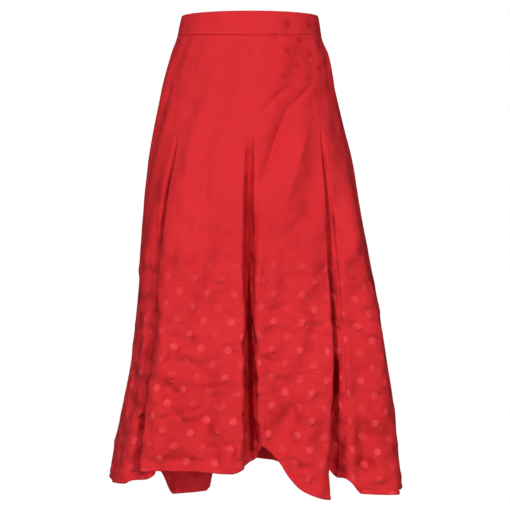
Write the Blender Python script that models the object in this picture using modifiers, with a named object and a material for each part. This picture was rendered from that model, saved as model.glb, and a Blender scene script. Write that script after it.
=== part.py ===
"""Midi skirt of eight panels on a contoured waistband, with six inverted pleats.

The skirt hangs as it is worn, open at the waist and at the hem. Its front faces -Y,
+Z is up, and the origin is the middle of the waist at the waistband's top edge.
A place round the body is an angle: 0 is the front middle, +90 the side at +X and
180 the back middle. A height is a drop, in metres below the waistband's top edge.
"""

from collections import namedtuple
from math import cos, pi, radians, sin

import bmesh
import bpy
from mathutils import Vector

# Driving sizes, in metres and degrees
WAISTBAND_HEIGHT = 0.040
WAISTBAND_SIDE_RISE = 0.006
WAISTBAND_WALL = 0.0022
CLOTH_WALL = 0.0012
SEAM_GAP = 0.0003
PLEAT_RELEASE = 0.188
PLEAT_BELLY = 0.2
SIDE_SEAM = 90.0
BACK_MIDDLE = 180.0

ZIP_SLIT = 0.0018
ZIP_TAPE_WIDTH = 0.022
ZIP_TAPE_WALL = 0.0008
ZIP_TAPE_COLUMNS = (-1.0, -0.5, 0.0, 0.5, 1.0)
ZIP_TAPE_SET_BACK = 0.0008
ZIP_TOP = 0.004
SLIDER_DROP = 0.009
SLIDER_PLATE = 0.0010
SLIDER_RING = 0.0021
SLIDER_HOLE = 0.00115
PULL_STAND_OFF = 0.0024
PULL_WALL = 0.0012
PULL_EYE = 0.0011
PULL_SHOULDER = 0.0025
PULL_FOOT = 0.0034
PULL_LENGTH = 0.0200
PULL_EYE_LENGTH = 0.0032

# Mesh counts
PANEL_STEPS = 6
PLEAT_STEPS = 5
HEIGHT_STEPS = 16
HEIGHT_CROWDING = 1.35
BAND_STEPS = 16
BAND_END_STEP = 0.1
BAND_HEIGHT_STEPS = 3
ARC_STEPS = 10
SETTLE_ROUNDS = 4

RED_CLOTH = (0.62, 0.03, 0.035, 1.0)
DARK_TAPE = (0.42, 0.02, 0.025, 1.0)
RED_ENAMEL = (0.55, 0.03, 0.035, 1.0)

# Reach of the cloth from the middle, to each side, at a drop, and how square its oval is
Section = namedtuple("Section", "drop left right front back square")
SECTIONS = (
    Section(0.000, 0.1145, 0.1145, 0.087, 0.0905, 0.00),
    Section(0.040, 0.1235, 0.1210, 0.091, 0.0920, 0.00),
    Section(0.066, 0.1325, 0.1310, 0.097, 0.103, 0.00),
    Section(0.120, 0.1476, 0.1425, 0.108, 0.120, 0.03),
    Section(0.174, 0.1576, 0.1543, 0.119, 0.133, 0.07),
    Section(0.254, 0.1710, 0.1727, 0.134, 0.147, 0.13),
    Section(0.348, 0.1810, 0.1895, 0.150, 0.161, 0.18),
    Section(0.455, 0.1880, 0.2080, 0.166, 0.174, 0.23),
    Section(0.563, 0.1985, 0.2247, 0.181, 0.187, 0.27),
    Section(0.670, 0.2190, 0.2380, 0.194, 0.199, 0.30),
    Section(0.764, 0.2365, 0.2480, 0.204, 0.209, 0.30),
    Section(0.840, 0.2450, 0.2540, 0.211, 0.216, 0.30),
)

# Size of a pleat below its release: half its mouth, and how far it folds in
PleatSize = namedtuple("PleatSize", "drop mouth depth")
PLEAT_SIZES = (
    PleatSize(0.000, 0.004, 0.000),
    PleatSize(0.188, 0.004, 0.000),
    PleatSize(0.250, 0.007, 0.014),
    PleatSize(0.350, 0.010, 0.032),
    PleatSize(0.500, 0.013, 0.046),
    PleatSize(0.650, 0.018, 0.056),
    PleatSize(0.740, 0.029, 0.061),
    PleatSize(0.840, 0.038, 0.064),
)

# Angle of each pleat's seam at the waistband, at the release, halfway down and at the hem
Pleat = namedtuple("Pleat", "waist release middle hem share")
PLEATS = {
    "front_left": Pleat(-73.0, -47.5, -53.0, -53.0, 0.85),
    "front_middle": Pleat(0.0, 0.0, -0.5, 1.0, 1.0),
    "front_right": Pleat(73.0, 47.5, 43.0, 36.0, 0.9),
    "back_right": Pleat(112.0, 128.0, 129.0, 129.0, 0.9),
    "back_middle": Pleat(180.0, 180.0, 184.0, 190.0, 1.0),
    "back_left": Pleat(-112.0, -128.0, -129.0, -129.0, 0.9),
}
PLEAT_STATIONS = (WAISTBAND_HEIGHT, PLEAT_RELEASE, 0.390, 0.760)

# Angle of a seam at a drop
Station = namedtuple("Station", "drop angle")

# Drop of the hem round the skirt, which hangs unevenly
HemPoint = namedtuple("HemPoint", "angle drop")
HEM = (
    HemPoint(-180.0, 0.759),
    HemPoint(-172.0, 0.757),
    HemPoint(-166.0, 0.760),
    HemPoint(-162.0, 0.818),
    HemPoint(-147.0, 0.824),
    HemPoint(-138.0, 0.780),
    HemPoint(-129.0, 0.770),
    HemPoint(-110.0, 0.778),
    HemPoint(-90.0, 0.772),
    HemPoint(-66.0, 0.771),
    HemPoint(-60.0, 0.770),
    HemPoint(-55.5, 0.760),
    HemPoint(-49.0, 0.746),
    HemPoint(-25.0, 0.743),
    HemPoint(-7.0, 0.747),
    HemPoint(1.0, 0.731),
    HemPoint(2.4, 0.728),
    HemPoint(4.6, 0.703),
    HemPoint(8.0, 0.713),
    HemPoint(11.2, 0.729),
    HemPoint(15.0, 0.754),
    HemPoint(21.0, 0.777),
    HemPoint(31.0, 0.789),
    HemPoint(36.0, 0.742),
    HemPoint(41.0, 0.762),
    HemPoint(46.0, 0.782),
    HemPoint(61.0, 0.786),
    HemPoint(90.0, 0.792),
    HemPoint(110.0, 0.785),
    HemPoint(129.0, 0.765),
    HemPoint(150.0, 0.776),
    HemPoint(164.0, 0.774),
    HemPoint(171.0, 0.764),
    HemPoint(180.0, 0.759),
)

# Soft folds between the pleats: a ridge has a height above 0, a trough below 0
SoftFold = namedtuple("SoftFold", "angle half_angle height start")
SOFT_FOLDS = (
    SoftFold(-82.0, 12.0, -0.007, 0.30),
    SoftFold(-46.0, 14.0, 0.013, 0.25),
    SoftFold(-20.0, 9.0, -0.006, 0.45),
    SoftFold(13.0, 10.0, -0.012, 0.50),
    SoftFold(60.0, 13.5, 0.028, 0.20),
    SoftFold(95.0, 12.0, 0.006, 0.35),
    SoftFold(152.0, 12.0, 0.010, 0.32),
    SoftFold(-152.0, 11.0, 0.009, 0.32),
    SoftFold(-106.0, 10.0, -0.007, 0.40),
)

# Panels from seam to seam, going round from -X to +X at the front
Panel = namedtuple("Panel", "name start end")
PANELS = (
    Panel("front_side_left", -SIDE_SEAM, "front_left"),
    Panel("front_centre_left", "front_left", "front_middle"),
    Panel("front_centre_right", "front_middle", "front_right"),
    Panel("front_side_right", "front_right", SIDE_SEAM),
    Panel("back_side_right", SIDE_SEAM, "back_right"),
    Panel("back_centre_right", "back_right", "back_middle"),
    Panel("back_centre_left", "back_middle", "back_left"),
    Panel("back_side_left", "back_left", -SIDE_SEAM),
)

Band = namedtuple("Band", "name start end start_gap end_gap")
BANDS = (
    Band("waistband_front", -SIDE_SEAM, SIDE_SEAM, SEAM_GAP, SEAM_GAP),
    Band("waistband_back_right", SIDE_SEAM, BACK_MIDDLE, SEAM_GAP, ZIP_SLIT),
    Band("waistband_back_left", BACK_MIDDLE, 2 * BACK_MIDDLE - SIDE_SEAM, ZIP_SLIT, SEAM_GAP),
)


def clear_scene():
    """Remove every object that the scene holds."""
    for item in list(bpy.data.objects):
        bpy.data.objects.remove(item, do_unlink=True)


def smooth_value(rows, place, key, value):
    """Read a table of rows at a place, along a smooth curve that stays between its rows."""
    places = [getattr(row, key) for row in rows]
    values = [getattr(row, value) for row in rows]
    if place <= places[0]:
        return values[0]
    if place >= places[-1]:
        return values[-1]
    i = next(n for n in range(len(rows) - 1) if place <= places[n + 1])

    def slope(n):
        """Slope of the curve at row n, flat where the table turns."""
        if n in (0, len(rows) - 1):
            return 0.0 if key == "angle" else secant(min(n, len(rows) - 2))
        before, after = secant(n - 1), secant(n)
        return 0.0 if before * after <= 0 else 2 * before * after / (before + after)

    def secant(n):
        """Slope of the straight line from row n to the next."""
        return (values[n + 1] - values[n]) / (places[n + 1] - places[n])

    step = places[i + 1] - places[i]
    t = (place - places[i]) / step
    return (
        values[i] * (1 + 2 * t) * (1 - t) ** 2
        + slope(i) * step * t * (1 - t) ** 2
        + values[i + 1] * t * t * (3 - 2 * t)
        - slope(i + 1) * step * t * t * (1 - t)
    )


def turned(angle):
    """The same angle between -180 and 180 degrees."""
    return (angle + BACK_MIDDLE) % (2 * BACK_MIDDLE) - BACK_MIDDLE


def hem_drop(angle):
    """Drop of the hem at an angle."""
    return smooth_value(HEM, turned(angle), "angle", "drop")


def band_drop(angle):
    """Drop of the waistband's lower seam, which rises a little at the sides."""
    return WAISTBAND_HEIGHT - WAISTBAND_SIDE_RISE * sin(radians(angle)) ** 2


def reach(angle, drop):
    """Half width, half depth and squareness of the body's oval where the angle lies."""
    side = "right" if sin(radians(angle)) >= 0 else "left"
    face = "front" if cos(radians(angle)) >= 0 else "back"
    return (
        smooth_value(SECTIONS, drop, "drop", side),
        smooth_value(SECTIONS, drop, "drop", face),
        smooth_value(SECTIONS, drop, "drop", "square"),
    )


def oval_run(angle, drop):
    """Way that the oval runs at an angle, as long as one radian of it."""
    wide, deep, square = reach(angle, drop)
    across, ahead = sin(radians(angle)), cos(radians(angle))
    bulge = 1 + square * (across**2 - 2 * ahead**2)
    return Vector((wide * ahead, deep * across * bulge, 0.0))


def metres_per_degree(angle, drop):
    """Length round the oval of one degree at an angle."""
    return radians(1.0) * oval_run(angle, drop).length


def soft_height(angle, drop):
    """How far the soft folds move the cloth out at an angle and drop."""
    height = 0.0
    for fold in SOFT_FOLDS:
        across = abs(turned(angle - fold.angle)) / fold.half_angle
        if across < 1 and drop > fold.start:
            down = min(1.0, (drop - fold.start) / (hem_drop(angle) - fold.start))
            height += fold.height * (0.5 + 0.5 * cos(pi * across)) * down * (2 - down)
    return height


def oval_point(angle, drop, inward):
    """Point on the body's oval, moved inward across it."""
    wide, deep, square = reach(angle, drop)
    across, ahead = sin(radians(angle)), cos(radians(angle))
    run = oval_run(angle, drop)
    out = Vector((run.y, -run.x, 0.0)).normalized()
    place = Vector((wide * across, -deep * ahead * (1 + square * across**2), -drop))
    return place - out * inward


def seam_angle(seam, drop):
    """Angle of a seam at a drop: a side seam is straight, and a pleat's follows its row."""
    if isinstance(seam, float):
        return seam
    pleat = PLEATS[seam]
    angles = (pleat.waist, pleat.release, pleat.middle, pleat.hem)
    stations = [Station(at, angle) for at, angle in zip(PLEAT_STATIONS, angles)]
    return smooth_value(stations, drop, "drop", "angle")


def row_share(n):
    """Share of the way down to the hem of a panel's row, closer together near the waist."""
    return (n / HEIGHT_STEPS) ** HEIGHT_CROWDING


def panel_columns(panel):
    """Columns of a panel from its start seam to its end seam, as (place, share) pairs."""
    columns = []
    if isinstance(panel.start, float):
        columns.append(("start", 0.0))
    else:
        columns += [("start", n / PLEAT_STEPS) for n in range(PLEAT_STEPS + 1)]
    columns += [("face", n / PANEL_STEPS) for n in range(1, PANEL_STEPS)]
    if isinstance(panel.end, float):
        columns.append(("end", 0.0))
    else:
        columns += [("end", 1 - n / PLEAT_STEPS) for n in range(PLEAT_STEPS + 1)]
    return columns


def panel_point(panel, place, share, down):
    """Point of a panel's outer side in one column, a share of the way down to the hem."""
    start, end = seam_angle(panel.start, PLEAT_RELEASE), seam_angle(panel.end, PLEAT_RELEASE)
    lap = 2 * BACK_MIDDLE if end < start else 0.0
    drop = PLEAT_RELEASE

    def edge(seam, direction, lap_turn):
        """Angle where a seam's pleat mouth ends, its size and its share."""
        middle = seam_angle(seam, drop) + lap_turn
        if isinstance(seam, float):
            return middle, 0.0, 0.0
        mouth = smooth_value(PLEAT_SIZES, drop, "drop", "mouth")
        depth = smooth_value(PLEAT_SIZES, drop, "drop", "depth") * PLEATS[seam].share
        turn = mouth / metres_per_degree(middle, drop)
        return middle + direction * turn, turn, depth

    angle = 0.5 * (start + end + lap)
    for _ in range(SETTLE_ROUNDS):
        top, foot = band_drop(angle) + SEAM_GAP, hem_drop(angle)
        drop = top + (foot - top) * down
        left, left_turn, left_depth = edge(panel.start, 1, 0.0)
        right, right_turn, right_depth = edge(panel.end, -1, lap)
        gap = 0.5 * SEAM_GAP / metres_per_degree(angle, drop)
        opened = smooth_value(PLEAT_SIZES, drop, "drop", "depth") / PLEAT_SIZES[-1].depth
        curl = share + PLEAT_BELLY * opened * sin(2 * pi * share)
        if place == "start":
            angle = left - left_turn * (1 - curl) + (gap if share == 0 else 0)
            inward = left_depth * (0.5 + 0.5 * cos(pi * share))
        elif place == "end":
            angle = right + right_turn * (1 - curl) - (gap if share == 0 else 0)
            inward = right_depth * (0.5 + 0.5 * cos(pi * share))
        else:
            angle = left + (right - left) * share
            inward = 0.0
    return oval_point(angle, drop, inward - soft_height(angle, drop))


def plain_material(name, colour, roughness, metallic=0.0):
    """Material with a plain colour, roughness and metallic value."""
    material = bpy.data.materials.new(name)
    material.use_nodes = True
    shader = material.node_tree.nodes["Principled BSDF"]
    shader.inputs["Base Color"].default_value = colour
    shader.inputs["Roughness"].default_value = roughness
    shader.inputs["Metallic"].default_value = metallic
    return material


def add_object(name, mesh, material, collection):
    """Put a mesh in the collection as an object with its material."""
    item = bpy.data.objects.new(name, mesh)
    item.data.materials.append(material)
    collection.objects.link(item)
    return item


def add_wall(name, grid, wall, material, collection):
    """Make a cloth wall from a grid of points on its outer side, rows going down."""
    mesh = bpy.data.meshes.new(name)
    shell = bmesh.new()
    rows = [[shell.verts.new(point) for point in row] for row in grid]
    for upper, lower in zip(rows, rows[1:]):
        for n in range(len(upper) - 1):
            shell.faces.new((upper[n], lower[n], lower[n + 1], upper[n + 1]))
    shell.to_mesh(mesh)
    shell.free()
    mesh.shade_smooth()
    item = add_object(name, mesh, material, collection)
    thickness = item.modifiers.new("Wall", "SOLIDIFY")
    thickness.thickness = wall
    thickness.offset = -1.0
    return item


def add_panels(material, collection):
    """Make the eight panels, which meet in the folds of the pleats and at the side seams."""
    for panel in PANELS:
        columns = panel_columns(panel)
        grid = [
            [panel_point(panel, place, share, row_share(n)) for place, share in columns]
            for n in range(HEIGHT_STEPS + 1)
        ]
        add_wall(panel.name, grid, CLOTH_WALL, material, collection)


def add_waistband(material, collection):
    """Make the waistband's front and the two halves of its back, which part at the zip."""
    for band in BANDS:
        steps = BAND_STEPS if band.end - band.start > 90.0 else BAND_STEPS // 2
        start = band.start + 0.5 * band.start_gap / metres_per_degree(band.start, 0.0)
        end = band.end - 0.5 * band.end_gap / metres_per_degree(band.end, 0.0)
        places = [0, BAND_END_STEP, *range(1, steps), steps - BAND_END_STEP, steps]
        grid = []
        for n in range(BAND_HEIGHT_STEPS + 1):
            row = []
            for place in places:
                angle = start + (end - start) * place / steps
                row.append(oval_point(angle, band_drop(angle) * n / BAND_HEIGHT_STEPS, 0.0))
            grid.append(row)
        add_wall(band.name, grid, WAISTBAND_WALL, material, collection)


def add_zip_tape(material, collection):
    """Make the concealed zip's closed tape, behind the back middle down to the release."""
    inward = WAISTBAND_WALL + ZIP_TAPE_SET_BACK
    half = 0.5 * ZIP_TAPE_WIDTH / metres_per_degree(BACK_MIDDLE, 0.0)
    top, foot = WAISTBAND_HEIGHT + SEAM_GAP, hem_drop(BACK_MIDDLE)
    panel_drops = [top + (foot - top) * row_share(n) for n in range(HEIGHT_STEPS + 1)]
    drops = [ZIP_TOP, WAISTBAND_HEIGHT / 2] + [d for d in panel_drops if d < PLEAT_RELEASE]
    grid = [
        [oval_point(BACK_MIDDLE + half * side, drop, inward) for side in ZIP_TAPE_COLUMNS]
        for drop in drops
    ]
    add_wall("zip_tape", grid, ZIP_TAPE_WALL, material, collection)


def arc_points(centre, radius, first, last, steps):
    """Points on an arc, from the first angle to the last, in degrees."""
    turns = [radians(first + (last - first) * n / steps) for n in range(steps + 1)]
    return [(centre[0] + radius * cos(turn), centre[1] + radius * sin(turn)) for turn in turns]


def add_plate(name, outlines, wall, material, collection):
    """Make a flat plate from closed outlines, the first its edge and the others its holes."""
    curve = bpy.data.curves.new(name, "CURVE")
    curve.dimensions = "2D"
    curve.fill_mode = "BOTH"
    curve.extrude = wall / 2
    for outline in outlines:
        spline = curve.splines.new("POLY")
        spline.points.add(len(outline) - 1)
        for point, (across, up) in zip(spline.points, outline):
            point.co = (across, up, 0.0, 1.0)
        spline.use_cyclic_u = True
    shape = bpy.data.objects.new(name, curve)
    collection.objects.link(shape)
    bpy.context.view_layer.update()
    graph = bpy.context.evaluated_depsgraph_get()
    mesh = bpy.data.meshes.new_from_object(shape.evaluated_get(graph))
    bpy.data.objects.remove(shape, do_unlink=True)
    caps = bmesh.new()
    caps.from_mesh(mesh)
    bmesh.ops.remove_doubles(caps, verts=caps.verts, dist=0.00001)
    caps.to_mesh(mesh)
    caps.free()
    mesh.materials.clear()
    return add_object(name, mesh, material, collection)


def pull_hinge():
    """Place of the pull tab's hinge, out from the waistband at the back middle."""
    band = oval_point(BACK_MIDDLE, SLIDER_DROP, 0.0)
    return band + Vector((0.0, PULL_STAND_OFF, 0.0))


def add_slider(material, collection):
    """Make the zip's slider plate, which stands in the slit and ends in a ring outside."""
    ring_reach = PULL_STAND_OFF + WAISTBAND_WALL
    back = arc_points((0.0, 0.0), SLIDER_RING, -90.0, 90.0, ARC_STEPS)
    edge = [(-ring_reach, -SLIDER_RING)] + back + [(-ring_reach, SLIDER_RING)]
    hole = arc_points((0.0, 0.0), SLIDER_HOLE, 0.0, 360.0, 2 * ARC_STEPS)[:-1]
    slider = add_plate("zip_slider", (edge, hole), SLIDER_PLATE, material, collection)
    slider.location = pull_hinge()
    slider.rotation_euler = (radians(90.0), 0.0, radians(90.0))


def add_pull(material, collection):
    """Make the pull tab, whose top bar runs through the slider's ring."""
    bar = PULL_WALL / 2
    foot = arc_points((0.0, PULL_FOOT - PULL_LENGTH), PULL_FOOT, 180.0, 360.0, ARC_STEPS)
    shoulder = -bar - PULL_EYE_LENGTH - PULL_SHOULDER
    edge = (
        [(-PULL_SHOULDER, bar), (-PULL_SHOULDER, shoulder)]
        + foot
        + [(PULL_SHOULDER, shoulder), (PULL_SHOULDER, bar)]
    )
    eye = [
        (-PULL_EYE, -bar),
        (PULL_EYE, -bar),
        (PULL_EYE, -bar - PULL_EYE_LENGTH),
        (-PULL_EYE, -bar - PULL_EYE_LENGTH),
    ]
    pull = add_plate("zip_pull", (edge, eye), PULL_WALL, material, collection)
    pull.location = pull_hinge()
    pull.rotation_euler = (radians(90.0), 0.0, 0.0)


def main():
    """Build the skirt."""
    clear_scene()
    collection = bpy.data.collections.new("midi_skirt")
    bpy.context.scene.collection.children.link(collection)
    cloth = plain_material("red_jacquard", RED_CLOTH, 0.45)
    band_cloth = plain_material("red_jacquard_band", RED_CLOTH, 0.45)
    tape = plain_material("zip_tape_red", DARK_TAPE, 0.7)
    metal = plain_material("red_enamel", RED_ENAMEL, 0.35, 0.4)
    add_panels(cloth, collection)
    add_waistband(band_cloth, collection)
    add_zip_tape(tape, collection)
    add_slider(metal, collection)
    add_pull(metal, collection)


main()
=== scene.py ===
"""Looks of a red midi skirt with tonal dots, built round its fixed frame.

The skirt's front faces -Y and +Z is up. A place round the body is an angle: 0 is the
front middle, +90 the side at +X and 180 the back middle. A height is a drop, in metres
below the waistband's top edge. Each panel is a thin shell on its solid's form.
"""

from __future__ import annotations

import logging
from dataclasses import dataclass, field

import bmesh
import bpy
import numpy as np
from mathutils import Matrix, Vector


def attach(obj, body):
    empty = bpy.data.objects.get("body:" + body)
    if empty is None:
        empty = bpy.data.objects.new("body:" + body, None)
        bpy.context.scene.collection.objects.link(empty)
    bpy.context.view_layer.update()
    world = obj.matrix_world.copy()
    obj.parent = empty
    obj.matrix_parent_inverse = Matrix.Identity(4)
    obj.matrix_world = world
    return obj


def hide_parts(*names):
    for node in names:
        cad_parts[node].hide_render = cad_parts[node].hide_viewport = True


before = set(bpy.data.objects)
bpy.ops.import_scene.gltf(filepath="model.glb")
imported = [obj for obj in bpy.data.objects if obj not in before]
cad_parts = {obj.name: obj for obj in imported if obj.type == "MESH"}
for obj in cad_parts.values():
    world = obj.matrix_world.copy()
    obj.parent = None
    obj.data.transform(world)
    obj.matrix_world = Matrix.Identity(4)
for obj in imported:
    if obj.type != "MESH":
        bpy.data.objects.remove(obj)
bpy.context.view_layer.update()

LOG = logging.getLogger("midi_skirt")
Array = np.ndarray
Socket = bpy.types.NodeSocket
Pair = tuple[float, float]
Triple = tuple[float, float, float]
Colour = tuple[float, float, float, float]
CLOTH_BODY = "skirt"
LENGTHS_MAP = "cloth_lengths"
DOT_STAGGER = (0.0, 0.5)
SEAM_GAP = 0.0003
SIDE_SEAM = 90.0
BACK_MIDDLE = 180.0
FULL_TURN = 360.0
TINY = 1e-12


@dataclass(frozen=True)
class Section:
    """Reach of the cloth from the middle at a drop, and how square its oval is."""

    drop: float
    left: float
    right: float
    front: float
    back: float
    square: float


@dataclass(frozen=True)
class PleatSize:
    """Half the mouth of a pleat at a drop, and how far it folds in."""

    drop: float
    mouth: float
    depth: float


@dataclass(frozen=True)
class Pleat:
    """Angle of a pleat's seam at four heights, and its share of the full depth."""

    waist: float
    release: float
    middle: float
    hem: float
    share: float


@dataclass(frozen=True)
class HemPoint:
    """Drop of the hem at an angle."""

    angle: float
    drop: float


@dataclass(frozen=True)
class SoftFold:
    """A wide fold that runs down to the hem, a ridge above 0 and a trough below."""

    angle: float
    half_angle: float
    height: float
    start: float


@dataclass(frozen=True)
class Crease:
    """A soft crease along a bowed line, a ridge above 0 and a trough below."""

    start_angle: float
    start_drop: float
    end_angle: float
    end_drop: float
    height: float
    width: float
    bow: float = 0.0


@dataclass(frozen=True)
class SmoothTable:
    """A smooth curve through rows of places and values that stays between its rows."""

    places: tuple[float, ...]
    values: tuple[float, ...]
    flat_ends: bool = False

    @classmethod
    def of(cls, rows: tuple, key: str, value: str, flat_ends: bool = False) -> SmoothTable:
        """Make the table from two fields of a tuple of rows.

        Args:
            rows: Dataclass rows in rising order of the key.
            key: Name of the field that holds the place.
            value: Name of the field that holds the value.
            flat_ends: True where the curve runs level into its ends.

        Returns:
            The table.
        """
        places = tuple(getattr(row, key) for row in rows)
        return cls(places, tuple(getattr(row, value) for row in rows), flat_ends)

    def slopes(self) -> Array:
        """Return the curve's slope at each row, level where the table turns."""
        secants = np.diff(self.values) / np.diff(self.places)
        before, after = secants[:-1], secants[1:]
        product = before * after
        total = np.where(before + after == 0, 1.0, before + after)
        inner = np.where(product > 0, 2 * product / total, 0.0)
        ends = (0.0, 0.0) if self.flat_ends else (secants[0], secants[-1])
        return np.concatenate(([ends[0]], inner, [ends[1]]))

    def __call__(self, place: Array) -> Array:
        """Return the value at each place, held level beyond the table's ends."""
        places, values, slopes = np.array(self.places), np.array(self.values), self.slopes()
        place = np.clip(place, places[0], places[-1])
        i = np.clip(np.searchsorted(places, place, side="right") - 1, 0, len(places) - 2)
        step = places[i + 1] - places[i]
        t = (place - places[i]) / step
        return (
            values[i] * (1 + 2 * t) * (1 - t) ** 2
            + slopes[i] * step * t * (1 - t) ** 2
            + values[i + 1] * t * t * (3 - 2 * t)
            - slopes[i + 1] * step * t * t * (1 - t)
        )


def turned(angle: Array) -> Array:
    """Return the same angles between -180 and 180 degrees."""
    return (angle + BACK_MIDDLE) % FULL_TURN - BACK_MIDDLE


def bump_of(across: Array) -> Array:
    """Return a rounded hump that is 1 at 0 and 0 from 1 on."""
    return np.where(np.abs(across) < 1, 0.5 + 0.5 * np.cos(np.pi * across), 0.0)


def bell(distance: Array, width: float) -> Array:
    """Return a bell that is 1 at no distance and fades beyond its width."""
    return np.exp(-((distance / width) ** 2))


def eased(share: Array) -> Array:
    """Return a share from 0 to 1 with soft ends."""
    return share * share * (3 - 2 * share)


def at_least(least: float, share: Array) -> Array:
    """Return a share from 0 to 1 squeezed between the least value and 1."""
    return least + (1 - least) * share


def drawn(cell: Array, shift: float, stir: Triple) -> Array:
    """Return a share from 0 to 1 for each cell that looks drawn at random."""
    return 0.5 + 0.5 * np.sin(stir[0] * cell[..., 0] + stir[1] * cell[..., 1] + stir[2] * shift)


@dataclass
class SkirtForm:
    """The skirt's form, as its cut and its hang give it."""

    band_height: float = 0.040
    band_side_rise: float = 0.006
    pleat_release: float = 0.188
    pleat_belly: float = 0.2
    pleat_stations: tuple[float, ...] = (0.040, 0.188, 0.390, 0.760)
    sections: tuple[Section, ...] = (
        Section(0.000, 0.1145, 0.1145, 0.087, 0.0905, 0.00),
        Section(0.040, 0.1235, 0.1210, 0.091, 0.0920, 0.00),
        Section(0.066, 0.1325, 0.1310, 0.097, 0.103, 0.00),
        Section(0.120, 0.1476, 0.1425, 0.108, 0.120, 0.03),
        Section(0.174, 0.1576, 0.1543, 0.119, 0.133, 0.07),
        Section(0.254, 0.1710, 0.1727, 0.134, 0.147, 0.13),
        Section(0.348, 0.1810, 0.1895, 0.150, 0.161, 0.18),
        Section(0.455, 0.1880, 0.2080, 0.166, 0.174, 0.23),
        Section(0.563, 0.1985, 0.2247, 0.181, 0.187, 0.27),
        Section(0.670, 0.2190, 0.2380, 0.194, 0.199, 0.30),
        Section(0.764, 0.2365, 0.2480, 0.204, 0.209, 0.30),
        Section(0.840, 0.2450, 0.2540, 0.211, 0.216, 0.30),
    )
    pleat_sizes: tuple[PleatSize, ...] = (
        PleatSize(0.000, 0.004, 0.000),
        PleatSize(0.188, 0.004, 0.000),
        PleatSize(0.250, 0.007, 0.014),
        PleatSize(0.350, 0.010, 0.032),
        PleatSize(0.500, 0.013, 0.046),
        PleatSize(0.650, 0.018, 0.056),
        PleatSize(0.740, 0.029, 0.061),
        PleatSize(0.840, 0.038, 0.064),
    )
    pleats: dict[str, Pleat] = field(
        default_factory=lambda: {
            "front_left": Pleat(-73.0, -47.5, -53.0, -53.0, 0.85),
            "front_middle": Pleat(0.0, 0.0, -0.5, 1.0, 1.0),
            "front_right": Pleat(73.0, 47.5, 43.0, 36.0, 0.9),
            "back_right": Pleat(112.0, 128.0, 129.0, 129.0, 0.9),
            "back_middle": Pleat(180.0, 180.0, 184.0, 190.0, 1.0),
            "back_left": Pleat(-112.0, -128.0, -129.0, -129.0, 0.9),
        }
    )
    hem: tuple[HemPoint, ...] = (
        HemPoint(-180.0, 0.759),
        HemPoint(-172.0, 0.757),
        HemPoint(-166.0, 0.760),
        HemPoint(-162.0, 0.818),
        HemPoint(-147.0, 0.824),
        HemPoint(-138.0, 0.780),
        HemPoint(-129.0, 0.770),
        HemPoint(-110.0, 0.778),
        HemPoint(-90.0, 0.772),
        HemPoint(-66.0, 0.771),
        HemPoint(-60.0, 0.770),
        HemPoint(-55.5, 0.760),
        HemPoint(-49.0, 0.746),
        HemPoint(-25.0, 0.743),
        HemPoint(-7.0, 0.747),
        HemPoint(1.0, 0.731),
        HemPoint(2.4, 0.728),
        HemPoint(4.6, 0.703),
        HemPoint(8.0, 0.713),
        HemPoint(11.2, 0.729),
        HemPoint(15.0, 0.754),
        HemPoint(21.0, 0.777),
        HemPoint(31.0, 0.789),
        HemPoint(36.0, 0.742),
        HemPoint(41.0, 0.762),
        HemPoint(46.0, 0.782),
        HemPoint(61.0, 0.786),
        HemPoint(90.0, 0.792),
        HemPoint(110.0, 0.785),
        HemPoint(129.0, 0.765),
        HemPoint(150.0, 0.776),
        HemPoint(164.0, 0.774),
        HemPoint(171.0, 0.764),
        HemPoint(180.0, 0.759),
    )
    soft_folds: tuple[SoftFold, ...] = (
        SoftFold(-82.0, 12.0, -0.007, 0.30),
        SoftFold(-46.0, 14.0, 0.013, 0.25),
        SoftFold(-20.0, 9.0, -0.006, 0.45),
        SoftFold(13.0, 10.0, -0.012, 0.50),
        SoftFold(60.0, 13.5, 0.028, 0.20),
        SoftFold(95.0, 12.0, 0.006, 0.35),
        SoftFold(152.0, 12.0, 0.010, 0.32),
        SoftFold(-152.0, 11.0, 0.009, 0.32),
        SoftFold(-106.0, 10.0, -0.007, 0.40),
    )

    def hem_drop(self, angle: Array) -> Array:
        """Return the drop of the hem at each angle."""
        return SmoothTable.of(self.hem, "angle", "drop", flat_ends=True)(turned(angle))

    def band_drop(self, angle: Array) -> Array:
        """Return the drop of the waistband's lower seam at each angle."""
        return self.band_height - self.band_side_rise * np.sin(np.radians(angle)) ** 2

    def reach(self, angle: Array, drop: Array) -> tuple[Array, ...]:
        """Return the oval's half width, half depth and squareness where each angle lies."""
        turn = np.radians(angle)
        read = {
            name: SmoothTable.of(self.sections, "drop", name)(drop)
            for name in ("left", "right", "front", "back", "square")
        }
        wide = np.where(np.sin(turn) >= 0, read["right"], read["left"])
        deep = np.where(np.cos(turn) >= 0, read["front"], read["back"])
        return wide, deep, read["square"]

    def oval_run(self, angle: Array, drop: Array) -> tuple[Array, Array]:
        """Return the X and Y of the way the oval runs, as long as one radian of it."""
        wide, deep, square = self.reach(angle, drop)
        across, ahead = np.sin(np.radians(angle)), np.cos(np.radians(angle))
        bulge = 1 + square * (across**2 - 2 * ahead**2)
        return wide * ahead, deep * across * bulge

    def metres_per_degree(self, angle: Array, drop: Array) -> Array:
        """Return the length of one degree round the oval at each angle."""
        return np.radians(1.0) * np.hypot(*self.oval_run(angle, drop))

    def degree_at(self, angle: float, drop: float) -> float:
        """Return the length of one degree round the oval at one place."""
        return float(self.metres_per_degree(np.array(angle), np.array(drop)))

    def soft_height(self, angle: Array, drop: Array) -> Array:
        """Return how far the wide folds move the cloth out."""
        height = np.zeros_like(drop)
        foot = self.hem_drop(angle)
        for fold in self.soft_folds:
            down = np.clip((drop - fold.start) / (foot - fold.start), 0.0, 1.0)
            across = turned(angle - fold.angle) / fold.half_angle
            height += fold.height * bump_of(across) * down * (2 - down)
        return height

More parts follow.
